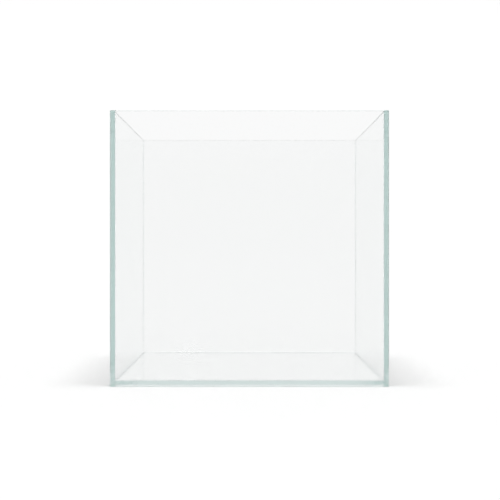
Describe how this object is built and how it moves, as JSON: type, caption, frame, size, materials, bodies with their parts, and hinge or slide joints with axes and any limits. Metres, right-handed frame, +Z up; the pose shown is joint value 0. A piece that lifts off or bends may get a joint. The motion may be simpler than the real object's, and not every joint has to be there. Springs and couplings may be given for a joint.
{
  "type": "glass aquarium tank",
  "caption": "Rimless open-topped cube aquarium of clear low-iron glass panes, glued edge to face with clear silicone and standing on the walls' lower edges.",
  "frame": {"origin": "middle of the plan, on the surface that the walls' lower edges stand on", "axes": "+Z up; +X to the right; the front pane faces -Y. The plan is square, and the front and back panes cover the side panes' edges"},
  "size_m": [0.3, 0.3, 0.297],
  "materials": {
    "low_iron_glass": "flat-polished low-iron float glass, almost colourless through the face, pale green-blue through the edge",
    "clear_silicone": "clear cured silicone, slightly milky, tooled smooth"
  },
  "bodies": {
    "root": {"base_pane": "low_iron_glass", "front_pane": "low_iron_glass", "back_pane": "low_iron_glass", "left_pane": "low_iron_glass", "right_pane": "low_iron_glass", "front_left_corner_bond": "clear_silicone", "front_right_corner_bond": "clear_silicone", "back_left_corner_bond": "clear_silicone", "back_right_corner_bond": "clear_silicone", "front_base_bond": "clear_silicone", "back_base_bond": "clear_silicone", "left_base_bond": "clear_silicone", "right_base_bond": "clear_silicone", "front_left_corner_seal": "clear_silicone", "front_right_corner_seal": "clear_silicone", "back_left_corner_seal": "clear_silicone", "back_right_corner_seal": "clear_silicone", "front_base_seal": "clear_silicone", "back_base_seal": "clear_silicone", "left_base_seal": "clear_silicone", "right_base_seal": "clear_silicone"}
  },
  "joints": []
}
